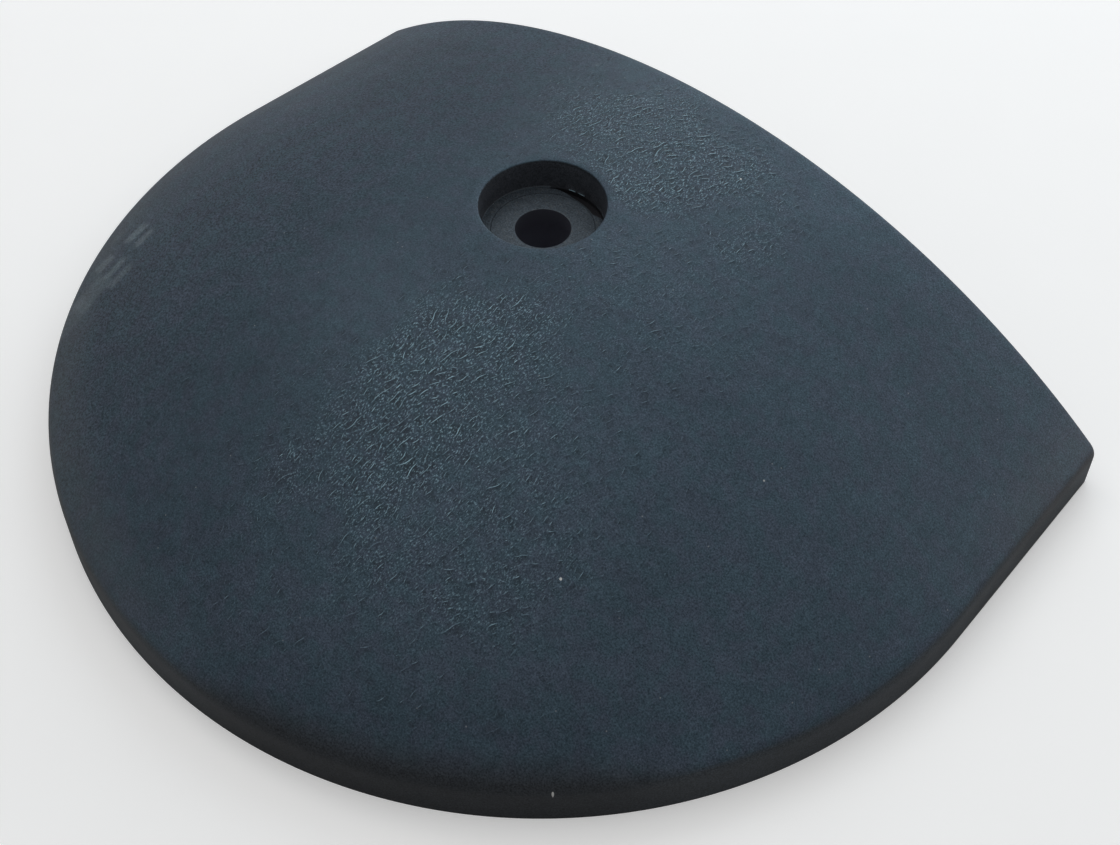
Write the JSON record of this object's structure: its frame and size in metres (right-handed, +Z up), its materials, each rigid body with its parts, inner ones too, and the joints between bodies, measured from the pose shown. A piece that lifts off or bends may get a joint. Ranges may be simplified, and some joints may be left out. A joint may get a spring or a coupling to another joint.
{
  "type": "rubber speed bump end cap",
  "caption": "Half-round end cap for a rubber speed bump, low arched dome with a recessed anchor-bolt hole and a flat face that butts against the next section.",
  "frame": {"origin": "on the axis of the anchor-bolt hole, at road level, which is the plane of the foot", "axes": "+Z up along the bolt hole, +X across the bump, +Y towards the bump section that the cap butts against, so the round nose points to -Y"},
  "size_m": [0.3, 0.22, 0.06],
  "materials": {
    "black_rubber": "matte moulded rubber with a fine leather-like grain, a soft blue-grey sheen and a little pale dust",
    "washer_steel": "dull steel, darkened by a film of rubber and dust from the mould"
  },
  "bodies": {
    "root": {"rubber_body": "black_rubber", "bolt_washer": "washer_steel"}
  },
  "joints": []
}
